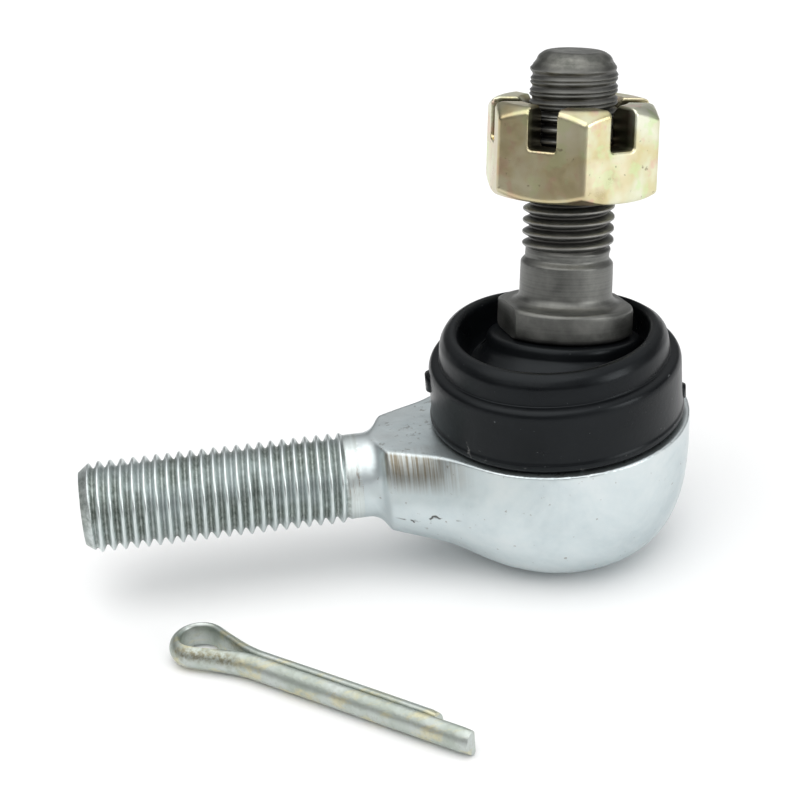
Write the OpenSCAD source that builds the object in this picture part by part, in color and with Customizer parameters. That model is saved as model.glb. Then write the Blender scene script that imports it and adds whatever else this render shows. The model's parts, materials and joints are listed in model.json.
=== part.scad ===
// Tie rod end with a male shank, an upright ball stud, a dust boot,
// a castle nut and its loose cotter pin.
//
// Frame: the origin is the centre of the ball. +Z is the socket's axis,
// up through the boot. The shank runs along -X. Millimetres.
// The stud leans away from +Z and is drawn along its own axis,
// where heights are measured from the ball's centre.

/* [Thread] */
// Crest diameter of both M10 x 1.25 threads
thread_d = 9.85; // [9.7:0.01:9.9]
// Root diameter, used for the relief grooves
groove_d = 9.2; // [8.8:0.1:9.4]

/* [Shank] */
// Distance from the ball's centre to the shank's tip
shank_reach = 52.3; // [48:0.1:60]
// Distance from the ball's centre to the inner end of the thread
thread_inner_x = 23.6; // [22.5:0.1:26]
// Bevel at the tip
tip_bevel = 0.9; // [0.5:0.1:1.5]

/* [Socket] */
// Outer diameter of the socket bowl
bowl_d = 28.7; // [28:0.1:31]
// Depth of the bowl's flat bottom under the ball's centre
bowl_depth = 11.2; // [11:0.1:13]
// Squareness of the bowl's side (2 is an ellipse)
bowl_squareness = 3.7; // [3:0.1:5]
// Height of the flat top of the web and of the bowl's shoulder
shoulder_z = 4.85; // [4.6:0.05:5]
// Radius of the web's cone where it meets the shank
web_r1 = 6.35; // [6:0.05:7]
// Radius of the web's cone inside the bowl
web_r2 = 10.2; // [9.5:0.1:10.4]

/* [Ball stud] */
// Ball diameter
ball_d = 15; // [14.6:0.1:15.2]
// Lean of the stud away from the socket's axis, in degrees
stud_lean = 14.4; // [0:0.1:16]
// Direction of the lean, in degrees from +X towards +Y
lean_heading = 61.2; // [0:0.1:360]
// Diameter of the collar
collar_d = 15; // [14.4:0.1:15.2]
// Distance across the collar's two wrench flats
collar_af = 13; // [12.8:0.1:13.6]
// Direction that the flats face, in degrees
collar_turn = 6.7; // [-30:0.1:30]
// Diameter of the seat that the steering arm fits on
seat_d = 10; // [9.95:0.05:10.2]
// Height of the stud's end above the ball's centre
stud_top = 43.9; // [43:0.1:46]
// Diameter of the cross hole for the cotter pin
cotter_hole_d = 3.3; // [3.2:0.1:3.5]

/* [Boot] */
// Outer diameter of the boot's lower band
band_d = 27.2; // [27:0.1:27.6]
// Outer diameter of the boot's upper tier
tier_d = 24.7; // [24.5:0.1:25]
// Diameter of the opening inside the boot's rim
rim_d = 20.4; // [20:0.1:20.6]

/* [Castle nut] */
// Distance across the nut's flats
nut_af = 17; // [16.6:0.1:17.2]
// Height of the nut, castle included
nut_h = 9.9; // [9.5:0.1:10.5]
// Width of the six slots
slot_w = 3.3; // [3.2:0.1:3.5]
// Depth of the six slots
slot_depth = 4.4; // [4:0.1:4.8]
// Height of the nut's underside above the ball's centre
nut_z = 28.8; // [26:0.1:29]
// Direction of one of the nut's corners, in degrees
nut_turn = 28.5; // [0:0.1:60]

/* [Cotter pin] */
// Diameter of the pin's two half-round legs together
pin_d = 3.1; // [2.9:0.05:3.15]
// Width of the eye
eye_w = 6.5; // [6.2:0.1:6.8]
// Length from the eye to the end of the long leg
pin_l = 38; // [36:0.5:42]
// How much shorter the other leg is
leg_step = 4.8; // [3:0.1:6]
// Where the eye's outer edge lies on the ground
pin_pos = [-43.7, -12.7];
// Direction of the legs, in degrees
pin_heading = -41.3; // [-60:0.1:-20]

/* [Hidden] */
$fn = 96;
thread_r = thread_d / 2;
groove_r = groove_d / 2;
bowl_r = bowl_d / 2;
ball_r = ball_d / 2;
seat_r = seat_d / 2;
collar_r = collar_d / 2;
bearing_gap = 0.04;         // running clearance of the ball and of the nut
loose_gap = 0.3;            // clearance between pieces that never touch

// The socket's insides, as heights and radii.
cavity_r = 9.8;             // bore that holds the two bearing seats
cavity_foot_r = 7;          // radius of the cavity's floor
cavity_floor = -9.2;
cavity_bend = -5.2;         // where the bore starts to close to its floor
washer_t = 0.6;             // preload washer under the lower seat
split_z = 0.6;              // joint between the lower and the upper seat
upper_seat_top = 4.4;
ring_t = 1.3;               // retaining ring over the upper seat
ring_r = 7.7;               // hole in the retaining ring
lip_z = 6.9;                // top of the lip that is rolled over the ring
lip_r = 8.3;                // hole in the rolled lip
spigot_r = 11.5;            // outside of the neck that the boot grips
spigot_top = 8.3;
spigot_hole_r = 9.4;        // mouth of the neck, clear of the leaning stud

// The stud's outline, as heights and radii.
waist_r = 4.2;              // thinnest part, just above the ball
waist_top = 9;
cuff_z = 11;                // where the boot's cuff grips
collar_z = 13.6;
collar_h = 3.3;
collar_edge = 0.35;
fillet_r = 0.9;             // hollow corner above the collar
seat_top = 21.3;
thread_z = 22.6;            // bottom of the stud's thread
taper_z = 37.5;             // the thread tapers a little from here up
end_thread_r = 4.55;
end_z = 42.2;               // end of the thread, start of the rounded end

// The boot.
boot_foot = shoulder_z + 0.1;
band_r = band_d / 2;
tier_r = tier_d / 2;
rim_r = rim_d / 2;
foot_lip = 0.45;            // how far the lip at the band's foot stands out
band_top = 12.2;
rim_top = 15.4;
wall_z = 9.1;               // underside of the soft wall
cuff_r = 6.2;
cuff_top = 13.4;
flange_r = 8.3;             // edge of the soft fold under the collar
insert_r1 = 12.05;          // steel ring moulded into the inside of the band
insert_r2 = 12.8;
insert_z = 5.8;
insert_h = 2.6;
neck_ring_r = 6.2;          // centre line of the wire ring round the cuff
neck_wire = 0.9;
neck_ring_z = 12.35;

// The cotter pin.
meet_x = 9.7;               // where the legs close up behind the eye
split = 0.03;               // half of the gap between the legs
bend_r = 8;                 // bend of the wire where the legs close up
curve_swell = 0.01;         // the wire is this much fuller where it is curved
curve_bite = 0.05;          // length of each straight wire inside the curved ones

// A quarter of a superellipse, from [r, z_mid] down to the axis side at z_mid - h.
function bowl_curve(r, z_mid, h, n, steps) =
    [for (i = [0:steps]) let (a = 90 * i / steps)
        [r * pow(cos(a), 2 / n), z_mid - h * pow(sin(a), 2 / n)]];

// Points of an arc about c, from angle a1 to angle a2.
function arc(c, r, a1, a2, steps) =
    [for (i = [0:steps]) let (a = a1 + (a2 - a1) * i / steps)
        c + r * [cos(a), sin(a)]];

// Turns +Z into the stud's axis.
module on_stud(turn = 0) {
    rotate([0, 0, lean_heading])
        rotate([0, stud_lean, 0])
            rotate([0, 0, turn - lean_heading])
                children();
}

module ball_room() {
    sphere(r = ball_r + bearing_gap);
}

// Room for the waist of the stud over its whole cone of travel.
module cone_room(top) {
    cone_foot = 2;
    cone_slope = tan(22);
    waist_room = waist_r / cos(22) + loose_gap;
    translate([0, 0, cone_foot])
        cylinder(r1 = waist_room + cone_foot * cone_slope, r2 = waist_room + top * cone_slope,
                 h = top - cone_foot);
}

module bowl() {
    wall = bowl_curve(bowl_r, bowl_depth, 2 * bowl_depth, bowl_squareness, 28);
    rotate_extrude()
        polygon(concat([[0, shoulder_z], [bowl_r - 0.6, shoulder_z], [bowl_r - 0.2, shoulder_z - 0.2]],
                       [for (p = wall) if (p[1] < shoulder_z - 1) p]));
}

// Cone between the bowl and the neck, with a flat top.
module web() {
    web_x = 19.2;           // where the web's cone starts
    neck_x = 20.6;          // where the shank's neck starts to flare
    inner_x = 8;
    intersection() {
        rotate([0, -90, 0])
            rotate_extrude()
                polygon([[0, inner_x], [web_r2, inner_x], [web_r1, web_x], [web_r1 - 0.5, web_x + 0.35],
                         [groove_r + 0.3, neck_x - 0.2], [groove_r, neck_x], [0, neck_x]]);
        translate([-40, -20, -20])
            cube([40, 40, 20 + shoulder_z]);
    }
}

module shank() {
    rotate([0, -90, 0])
        rotate_extrude()
            polygon([[0, 15], [groove_r, 15], [groove_r, thread_inner_x - 0.4], [thread_r, thread_inner_x],
                     [thread_r, shank_reach - tip_bevel], [thread_r - tip_bevel, shank_reach],
                     [0, shank_reach]]);
}

// Forged bowl, web, neck and threaded shank, in one piece.
module socket_housing() {
    color([0.76, 0.79, 0.8])
        difference() {
            union() {
                bowl();
                web();
                shank();
                spigot();
            }
            seat_cavity();
        }
}

// Neck above the bowl, with the bead that keeps the boot on.
module spigot() {
    bead = 0.25;
    rotate_extrude()
        polygon([[0, 0], [spigot_r, 0], [spigot_r, spigot_top - 1.6], [spigot_r + bead, spigot_top - 1.2],
                 [spigot_r + bead, spigot_top - 0.7], [spigot_r - 0.4, spigot_top], [0, spigot_top]]);
}

module seat_cavity() {
    rotate_extrude()
        polygon([[0, cavity_floor], [cavity_foot_r, cavity_floor], [cavity_r, cavity_bend],
                 [cavity_r, upper_seat_top + ring_t], [lip_r, upper_seat_top + ring_t], [lip_r, lip_z],
                 [spigot_hole_r, spigot_top + 1], [0, spigot_top + 1]]);
}

// Thin disc spring that pushes the seats up against the ball.
module preload_washer() {
    foot = cavity_foot_r - 0.05;
    slope = (cavity_r - cavity_foot_r) / (cavity_bend - cavity_floor);
    color([0.45, 0.45, 0.47])
        difference() {
            translate([0, 0, cavity_floor])
                cylinder(r1 = foot, r2 = foot + slope * washer_t, h = washer_t);
            translate([0, 0, cavity_floor - 1])
                cylinder(r = 3, h = washer_t + 2);
        }
}

module lower_seat() {
    foot_z = cavity_floor + washer_t;
    foot_r = cavity_foot_r + (cavity_r - cavity_foot_r) * washer_t / (cavity_bend - cavity_floor);
    color([0.92, 0.92, 0.88])
        difference() {
            rotate_extrude()
                polygon([[0, foot_z], [foot_r, foot_z], [cavity_r, cavity_bend], [cavity_r, split_z],
                         [0, split_z]]);
            ball_room();
            grease_room();
        }
}

// Pocket for grease under the ball.
module grease_room() {
    translate([0, 0, cavity_floor - 1])
        cylinder(r = 1.6, h = 4);
}

module upper_seat() {
    color([0.92, 0.92, 0.88])
        difference() {
            translate([0, 0, split_z])
                cylinder(r = cavity_r, h = upper_seat_top - split_z);
            ball_room();
            cone_room(upper_seat_top + 1);
        }
}

module retaining_ring() {
    color([0.6, 0.6, 0.62])
        translate([0, 0, upper_seat_top])
            difference() {
                cylinder(r = cavity_r, h = ring_t);
                translate([0, 0, -1])
                    cylinder(r = ring_r, h = ring_t + 2);
            }
}

// Ball, waist, collar, seat and threaded end, in one piece.
module ball_stud() {
    collar_top = collar_z + collar_h;
    color([0.33, 0.34, 0.34])
        on_stud(collar_turn)
            difference() {
                union() {
                    sphere(r = ball_r);
                    rotate_extrude()
                        polygon([[0, 3], [waist_r, 3], [waist_r, waist_top], [seat_r, cuff_z],
                                 [seat_r, collar_z], [0, collar_z]]);
                    collar();
                    rotate_extrude()
                        polygon(concat(
                            [[0, collar_z], [seat_r + fillet_r, collar_top]],
                            arc([seat_r + fillet_r, collar_top + fillet_r], fillet_r, 270, 180, 8),
                            [[seat_r, seat_top], [groove_r - 0.1, seat_top + 0.6],
                             [groove_r - 0.1, thread_z - 0.3], [thread_r, thread_z],
                             [thread_r, taper_z], [end_thread_r, end_z], [end_thread_r - 0.5, end_z + 0.5],
                             [end_thread_r - 0.9, stud_top - 0.5], [end_thread_r - 1.5, stud_top],
                             [0, stud_top]]));
                }
                cotter_hole();
            }
}

module collar() {
    across = collar_r * 2 + 2;
    intersection() {
        rotate_extrude()
            polygon([[0, collar_z], [collar_r - collar_edge, collar_z], [collar_r, collar_z + collar_edge],
                     [collar_r, collar_z + collar_h - collar_edge],
                     [collar_r - collar_edge, collar_z + collar_h], [0, collar_z + collar_h]]);
        translate([-collar_af / 2, -across / 2, collar_z - 1])
            cube([collar_af, across, collar_h + 2]);
    }
}

// Level with the nut's slots and turned in between two of them.
module cotter_hole() {
    hole_z = nut_z + nut_h - slot_depth / 2;
    rotate([0, 0, nut_turn - collar_turn])
        translate([-10, 0, hole_z])
            rotate([0, 90, 0])
                cylinder(d = cotter_hole_d, h = 20);
}

// Rubber boot: a stiff band and tier round the socket, and a soft wall
// that follows the stud up to a cuff under its collar.
module dust_boot() {
    color([0.09, 0.09, 0.1])
        difference() {
            union() {
                boot_shell();
                soft_wall();
            }
            boot_stud_room();
            neck_ring_wire();
            insert_pocket();
        }
}

module boot_shell() {
    rim_round = 1.7;
    rotate_extrude()
        polygon(concat(
            [[spigot_r, boot_foot + 0.4], [spigot_r + 0.4, boot_foot], [band_r - 0.4, boot_foot],
             [band_r + foot_lip, boot_foot + 0.9], [band_r + foot_lip, boot_foot + 1.3],
             [band_r, boot_foot + 1.6], [band_r, band_top - 0.9]],
            arc([band_r - 0.7, band_top - 0.7], 0.7, 0, 90, 4),
            [[tier_r + 0.25, band_top], [tier_r, band_top + 0.3]],
            arc([tier_r - rim_round, rim_top - rim_round], rim_round, 0, 90, 6),
            [[rim_r + 0.3, rim_top], [rim_r, rim_top - 0.4], [rim_r - 0.2, band_top],
             [rim_r - 0.4, wall_z], [spigot_r, spigot_top + 0.3], [spigot_r + 0.3, spigot_top - 0.7],
             [spigot_r + 0.3, spigot_top - 1.3], [spigot_r, spigot_top - 1.7]]));
}

module soft_wall() {
    across = 2 * band_r;
    fold_t = 0.55;
    translate([0, 0, wall_z])
        cylinder(r = rim_r, h = 1);
    intersection() {
        on_stud()
            cylinder(r = cuff_r, h = cuff_top);
        translate([-across / 2, -across / 2, wall_z])
            cube(across);
    }
    on_stud()
        translate([0, 0, cuff_top - fold_t])
            cylinder(r = flange_r, h = fold_t);
}

// The collar presses into the rim on the side that the stud leans to.
module boot_stud_room() {
    on_stud() {
        cylinder(r = seat_r + 0.02, h = collar_z + 1);
        translate([0, 0, collar_z - 0.1])
            cylinder(r = collar_r + loose_gap, h = 8);
    }
}

module insert_pocket() {
    translate([0, 0, insert_z])
        cylinder(r = insert_r2, h = insert_h);
}

// Steel ring moulded inside the band, which makes it grip the neck.
module boot_band_insert() {
    color([0.6, 0.6, 0.62])
        difference() {
            insert_pocket();
            translate([0, 0, insert_z - 1])
                cylinder(r = insert_r1, h = insert_h + 2);
        }
}

module neck_ring_wire() {
    on_stud()
        translate([0, 0, neck_ring_z])
            rotate_extrude()
                translate([neck_ring_r, 0])
                    circle(d = neck_wire, $fn = 24);
}

// Wire ring that holds the cuff on the stud.
module boot_neck_ring() {
    color([0.6, 0.6, 0.62])
        neck_ring_wire();
}

// Slotted hexagon nut.
module castle_nut() {
    corner_r = nut_af / 2 / cos(30);
    castle_r = corner_r - 0.15;
    bore_r = thread_r + bearing_gap;
    color([0.72, 0.67, 0.45])
        on_stud(nut_turn)
            translate([0, 0, nut_z])
                difference() {
                    intersection() {
                        cylinder(r = corner_r, h = nut_h, $fn = 6);
                        rotate_extrude()
                            polygon([[0, 0], [nut_af / 2 - 0.3, 0], [corner_r, 0.85],
                                     [corner_r, nut_h - 1.25], [nut_af / 2 - 0.7, nut_h],
                                     [0, nut_h]]);
                    }
                    translate([0, 0, -1])
                        cylinder(r = bore_r, h = nut_h + 2);
                    countersink(bore_r);
                    nut_slots(castle_r);
                }
}

module countersink(bore_r) {
    depth = 0.6;
    for (side = [0, 1])
        translate([0, 0, side * nut_h])
            rotate([180 * side, 0, 0])
                translate([0, 0, -1])
                    cylinder(r1 = bore_r + depth + 1, r2 = bore_r, h = depth + 1);
}

module nut_slots(reach) {
    for (i = [0:2])
        rotate([0, 0, 30 + 60 * i])
            translate([-reach - 2, -slot_w / 2, nut_h - slot_depth])
                cube([2 * reach + 4, slot_w, slot_depth + 1]);
}

// Half-round wire folded on itself, lying on the ground that the bowl stands on.
module cotter_pin() {
    wire_r = pin_d / 2;
    eye_r = eye_w / 2 - wire_r;             // flat side of the wire round the eye
    eye_x = eye_w / 2;
    pull = norm([meet_x - eye_x, split]);   // from the eye's centre to where the legs close up
    pinch = asin(eye_r / pull) - atan(split / (meet_x - eye_x));  // slope of the wire behind the eye
    run = sqrt(pow(pull, 2) - pow(eye_r, 2));
    color([0.72, 0.74, 0.68])
        translate([pin_pos[0], pin_pos[1], wire_r - bowl_depth])
            rotate([0, 0, pin_heading]) {
                translate([eye_x, 0, 0])
                    rotate([0, 0, 90 - pinch])
                        rotate_extrude(angle = 180 + 2 * pinch)
                            half_round(eye_r);
                pin_side(pin_l - leg_step, pinch, run);
                mirror([0, 1, 0])
                    pin_side(pin_l, pinch, run);
            }
}

// One leg, the bend behind it, and the slanted wire that leads to the eye.
module pin_side(reach, pinch, run) {
    trim = bend_r * tan(pinch / 2);         // length that the bend takes from each side
    translate([meet_x, split, 0]) {
        translate([trim - curve_bite, 0, 0])
            rotate([0, 90, 0])
                linear_extrude(reach - meet_x - trim + curve_bite)
                    half_disc();
        translate([trim, bend_r, 0])
            rotate([0, 0, 270 - pinch])
                rotate_extrude(angle = pinch)
                    half_round(bend_r, -1);
        rotate([0, 0, -pinch])
            translate([curve_bite - trim, 0, 0])
                rotate([0, -90, 0])
                    linear_extrude(run - trim + 2 * curve_bite)
                        half_disc();
    }
}

// The section of the curved wire, flat side at x = r and round side outwards,
// or inwards where side is -1.
module half_round(r, side = 1) {
    swollen_d = pin_d + 2 * curve_swell;
    intersection() {
        translate([r, 0])
            circle(d = swollen_d, $fn = 48);
        translate([side > 0 ? r - curve_swell : r + curve_swell - pin_d, -pin_d])
            square([pin_d, 2 * pin_d]);
    }
}

// The same section with its flat side along the x axis.
module half_disc() {
    intersection() {
        circle(d = pin_d, $fn = 48);
        translate([-pin_d, 0])
            square([2 * pin_d, pin_d]);
    }
}

socket_housing();
preload_washer();
lower_seat();
upper_seat();
retaining_ring();
ball_stud();
dust_boot();
boot_band_insert();
boot_neck_ring();
castle_nut();
cotter_pin();
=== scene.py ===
"""Tie rod end on a pale studio floor: forged socket with a left-hand threaded shank,
rubber boot, ball stud with a right-hand thread, castle nut and a loose cotter pin."""

import json
import math

import bmesh
import bpy
import numpy as np
from mathutils import Matrix, Vector


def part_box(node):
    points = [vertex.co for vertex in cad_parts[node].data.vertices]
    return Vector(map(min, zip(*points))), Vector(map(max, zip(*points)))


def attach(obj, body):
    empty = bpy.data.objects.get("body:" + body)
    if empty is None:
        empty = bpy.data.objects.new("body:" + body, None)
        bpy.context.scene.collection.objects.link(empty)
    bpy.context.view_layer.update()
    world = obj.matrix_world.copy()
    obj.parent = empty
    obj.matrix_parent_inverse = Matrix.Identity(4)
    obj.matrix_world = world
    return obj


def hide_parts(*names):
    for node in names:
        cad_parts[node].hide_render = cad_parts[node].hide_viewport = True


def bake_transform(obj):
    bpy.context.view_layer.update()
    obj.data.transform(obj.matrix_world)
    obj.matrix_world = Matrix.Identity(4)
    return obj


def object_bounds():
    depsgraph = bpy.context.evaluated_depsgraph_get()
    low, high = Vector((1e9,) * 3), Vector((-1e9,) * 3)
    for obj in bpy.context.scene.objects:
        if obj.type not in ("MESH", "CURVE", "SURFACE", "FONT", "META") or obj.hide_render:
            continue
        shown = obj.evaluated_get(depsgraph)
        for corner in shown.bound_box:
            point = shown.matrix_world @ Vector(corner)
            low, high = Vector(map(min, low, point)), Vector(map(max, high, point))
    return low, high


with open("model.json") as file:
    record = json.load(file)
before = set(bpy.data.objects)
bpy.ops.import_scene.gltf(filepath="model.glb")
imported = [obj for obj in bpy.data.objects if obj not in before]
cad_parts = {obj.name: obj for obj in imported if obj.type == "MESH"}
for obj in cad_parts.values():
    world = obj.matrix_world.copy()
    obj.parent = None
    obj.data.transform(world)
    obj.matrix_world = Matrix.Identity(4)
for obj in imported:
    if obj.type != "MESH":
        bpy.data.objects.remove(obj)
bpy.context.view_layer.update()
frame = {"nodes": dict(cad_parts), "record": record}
MM = 0.001

# ---------------------------------------------------------------- sizes, in millimetres
PITCH = 1.25
CREST_R = 4.925
ROOT_R = 4.19
NECK_R = 4.6

SHANK_TIP = 52.3
SHANK_TIP_R = 3.95
SHANK_THREAD_END = 23.6
WEB_START = 19.2
WEB_R = 6.35
SHOULDER_Z = 4.85
BOWL_R = 14.35
BOWL_DEPTH = 11.2
BOWL_SQUARENESS = 3.7

BALL_R = 7.5
WAIST_R = 4.2
SEAT_R = 5.0
GROOVE_R = 4.5
COLLAR_R = 7.5
COLLAR_HALF_AF = 6.5
COLLAR_Z = 13.6
COLLAR_H = 3.3
COLLAR_FILLET = 1.15
STUD_THREAD_Z = 22.6
STUD_THREAD_TOP = 42.9
STUD_TOP = 43.9

NUT_Z = 28.8
NUT_H = 9.9
NUT_HALF_AF = 8.5
SLOT_HALF_W = 1.6
SLOT_DEPTH = 4.4

BAND_R = 13.6
TIER_R = 12.35
RIM_R = 10.2
BAND_TOP = 12.2
RIM_TOP = 15.4

PIN_R = 1.55
PIN_EYE_R = 1.98
PIN_EYE_X = 3.25
PIN_MEET_X = 9.7
PIN_LENGTH = 38.0
PIN_LEG_STEP = 4.8

# How the loose or turned pieces happen to lie.
NUT_TURN = math.radians(28.5)
COLLAR_TURN = math.radians(6.7)
PIN_HEADING = math.radians(-41.3)


# ---------------------------------------------------------------- places, from the frame
def joint(name):
    return next(j for j in frame["record"]["behaviour"]["joints"] if j["name"] == name)


STUD_AXIS = Vector(joint("stud_spin")["axis"]).normalized()
LEAN = math.acos(STUD_AXIS.z)
HEADING = math.atan2(STUD_AXIS.y, STUD_AXIS.x)
ALONG_SHANK = Matrix.Rotation(-math.pi / 2, 4, "Y")     # local +Z runs along -X


def on_stud(turn=0.0):
    """The stud's own frame: +Z along its axis, turned about that axis."""
    lean = Matrix.Rotation(HEADING, 4, "Z") @ Matrix.Rotation(LEAN, 4, "Y")
    return lean @ Matrix.Rotation(turn - HEADING, 4, "Z")


# ---------------------------------------------------------------- mesh helpers
def new_object(name, vertices, faces, place=None):
    """A mesh object from points in millimetres, with its place worked into its mesh."""
    points = np.asarray(vertices, float) * MM
    mesh = bpy.data.meshes.new(name)
    mesh.from_pydata(points.tolist(), [], [tuple(int(i) for i in f) for f in faces])
    if place is not None:
        mesh.transform(place)
    mesh.validate()
    mesh.update()
    mesh.shade_smooth()
    obj = bpy.data.objects.new(name, mesh)
    bpy.context.scene.collection.objects.link(obj)
    return obj


def clean(obj, distance=0.002):
    """Merges points that fell on one another, and makes the normals point outwards."""
    bm = bmesh.new()
    bm.from_mesh(obj.data)
    bmesh.ops.remove_doubles(bm, verts=bm.verts, dist=distance * MM)
    bmesh.ops.dissolve_degenerate(bm, edges=bm.edges, dist=distance * MM * 0.5)
    bmesh.ops.recalc_face_normals(bm, faces=bm.faces)
    bm.to_mesh(obj.data)
    bm.free()
    obj.data.shade_smooth()
    return obj


def crisp(obj, degrees):
    """Keeps edges sharper than this angle crisp under smooth shading."""
    obj.data.set_sharp_from_angle(angle=math.radians(degrees))
    return obj


def join(objects):
    """Adds the other meshes to the first object's mesh."""
    bm = bmesh.new()
    for obj in objects:
        bm.from_mesh(obj.data)
    bm.to_mesh(objects[0].data)
    bm.free()
    for obj in objects[1:]:
        bpy.data.objects.remove(obj)
    return objects[0]


def grid_faces(rows, columns, shift=0):
    """Quads of a grid that closes round on itself; shift rows are slipped at the seam."""
    faces = []
    for j in range(columns):
        k = (j + 1) % columns
        slip = shift if k == 0 else 0
        for i in range(rows - 1):
            here, above = i * columns + j, (i + 1) * columns + j
            i2, i3 = i + slip, i + 1 + slip
            if 0 <= i2 < rows and 0 <= i3 < rows:
                faces.append((here, i2 * columns + k, i3 * columns + k, above))
    return faces


def rounded(points, radius, steps=5):
    """Replaces each inner corner of an open outline with a small arc-like curve."""
    out = [points[0]]
    for before, corner, after in zip(points, points[1:], points[2:]):
        before, corner, after = (np.array(p, float) for p in (before, corner, after))
        back, on = before - corner, after - corner
        back_length, on_length = np.linalg.norm(back), np.linalg.norm(on)
        cut = min(radius, back_length * 0.49, on_length * 0.49)
        start, end = corner + back / back_length * cut, corner + on / on_length * cut
        for i in range(steps + 1):
            t = i / steps
            out.append(tuple((1 - t) ** 2 * start + 2 * t * (1 - t) * corner + t * t * end))
    out.append(points[-1])
    return out


def resampled(points, step):
    """The outline with no stretch longer than step."""
    out = [points[0]]
    for a, b in zip(points, points[1:]):
        n = max(1, math.ceil(math.dist(a, b) / step))
        out += [(a[0] + (b[0] - a[0]) * i / n, a[1] + (b[1] - a[1]) * i / n) for i in range(1, n + 1)]
    return out


def lathe(name, outline, place=None, columns=160, reshape=None):
    """Turns an outline of (radius, height) about the local Z axis.
    reshape(points, angles) may move the points before they are placed."""
    outline = np.array(outline, float)
    angles = np.linspace(0, 2 * math.pi, columns, endpoint=False)
    r = outline[:, 0][:, None]
    z = np.repeat(outline[:, 1][:, None], columns, axis=1)
    points = np.stack([r * np.cos(angles), r * np.sin(angles), z], axis=-1)
    if reshape:
        points = reshape(points, angles)
    return clean(new_object(name, points.reshape(-1, 3), grid_faces(len(outline), columns), place))


def smooth_step(x, low, high):
    t = np.clip((x - low) / (high - low), 0, 1)
    return t * t * (3 - 2 * t)


# ---------------------------------------------------------------- threads
def thread_section(phase):
    """Height of a rolled metric thread, 0 at the root and 1 at the crest, over one pitch."""
    root_edge, crest_edge = 0.86, 0.14
    from_crest = np.abs((phase % 1.0) - 0.5) * 2
    flank = np.clip((root_edge - from_crest) / (root_edge - crest_edge), 0, 1)
    return flank * flank * (3 - 2 * flank) * 0.35 + flank * 0.65


def thread(name, start, end, hand, place, bottom, top, roundness=1.0, seam=None):
    """A threaded rod along local Z. The grid follows the helix, so crests stay unbroken.
    bottom(z) and top(z) are the radius of the roots and of the crests at each height, and
    seam(z) is how deep a groove runs along the crests where the thread is half rolled."""
    columns, rows_per_pitch = 128, 16
    turns = math.ceil((end - start) / PITCH) + 2
    rows = turns * rows_per_pitch + 1
    angles = np.linspace(0, 2 * math.pi, columns, endpoint=False)
    along = np.arange(rows)[:, None] / rows_per_pitch - 1
    z = start + (along + hand * angles / (2 * math.pi) - (hand - 1) / 2) * PITCH
    inside = np.clip(z, start, end)
    section = 1 - (1 - thread_section(along)) ** roundness
    if seam:
        section = section - seam(inside) * np.exp(-((along % 1.0 - 0.5) / 0.12) ** 2)
    wear = 0.015 * np.sin(z * 4.2 + angles * 3) * np.sin(angles * 7 + z * 1.4)
    low = np.minimum(bottom(inside), top(inside))
    high = np.maximum(np.minimum(top(inside), CREST_R) + wear, low)
    r = low + (high - low) * section
    points = np.stack([r * np.cos(angles), r * np.sin(angles), inside], axis=-1)
    return new_object(name, points.reshape(-1, 3), grid_faces(rows, columns, hand * rows_per_pitch), place)


# ---------------------------------------------------------------- implicit shapes
def round_max(a, b, r):
    """Greater of two fields, with a rounded edge of radius r where they cross."""
    u, v = np.maximum(a + r, 0), np.maximum(b + r, 0)
    return np.minimum(np.maximum(a, b), -r) + np.sqrt(u * u + v * v)


def soft_min(a, b, k):
    """Lesser of two fields, blended over a width of k, as a forging's fillets are."""
    h = np.clip(0.5 + 0.5 * (b - a) / k, 0, 1)
    return b * (1 - h) + a * h - k * h * (1 - h)


def net_faces(solid, number, shape):
    """Quads between the numbered cells round each grid edge where solid changes."""
    faces = []
    for axis in range(3):
        side1, side2 = (axis + 1) % 3, (axis + 2) % 3
        first = [slice(1, s) for s in shape]
        first[axis] = slice(0, shape[axis])
        second = list(first)
        second[axis] = slice(1, shape[axis] + 1)
        a, b = solid[tuple(first)], solid[tuple(second)]
        for crossing, flip in ((a & ~b, False), (~a & b, True)):
            at = np.argwhere(crossing)
            if not len(at):
                continue
            at = at + np.array([s.start for s in first])
            quad = []
            for step1, step2 in ((0, 0), (1, 0), (1, 1), (0, 1)):
                cell = at.copy()
                cell[:, side1] -= step1
                cell[:, side2] -= step2
                quad.append(number[cell[:, 0], cell[:, 1], cell[:, 2]])
            faces.append(np.stack(quad[::-1] if flip else quad, axis=1))
    return np.concatenate(faces)


def drawn_onto(field, points, step):
    """The points moved onto the field's zero surface, along its slope."""
    nudge = step * 0.05
    for _ in range(8):
        x, y, z = points.T
        slope = np.stack([field(x + nudge, y, z) - field(x - nudge, y, z),
                          field(x, y + nudge, z) - field(x, y - nudge, z),
                          field(x, y, z + nudge) - field(x, y, z - nudge)], axis=1) / (2 * nudge)
        steepness = np.maximum((slope * slope).sum(1), 0.05)
        move = -(field(x, y, z) / steepness)[:, None] * slope
        length = np.maximum(np.linalg.norm(move, axis=1), 1e-9)
        points = points + move * np.minimum(1, step * 0.4 / length)[:, None]
    return points


def surface(name, field, low, high, step):
    """The zero surface of field(x, y, z) in a box, by surface nets, drawn onto the surface."""
    axes = [np.arange(a, b + step, step) for a, b in zip(low, high)]
    solid = field(*np.meshgrid(*axes, indexing="ij")) < 0
    shape = np.array(solid.shape) - 1
    count = np.zeros(shape, np.int8)
    for i in (0, 1):
        for j in (0, 1):
            for k in (0, 1):
                count += solid[i:shape[0] + i, j:shape[1] + j, k:shape[2] + k]
    mixed = (count > 0) & (count < 8)
    number = np.full(mixed.shape, -1, np.int64)
    number[mixed] = np.arange(mixed.sum())
    points = np.array(low) + (np.argwhere(mixed) + 0.5) * step
    return new_object(name, drawn_onto(field, points, step), net_faces(solid, number, shape))


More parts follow.
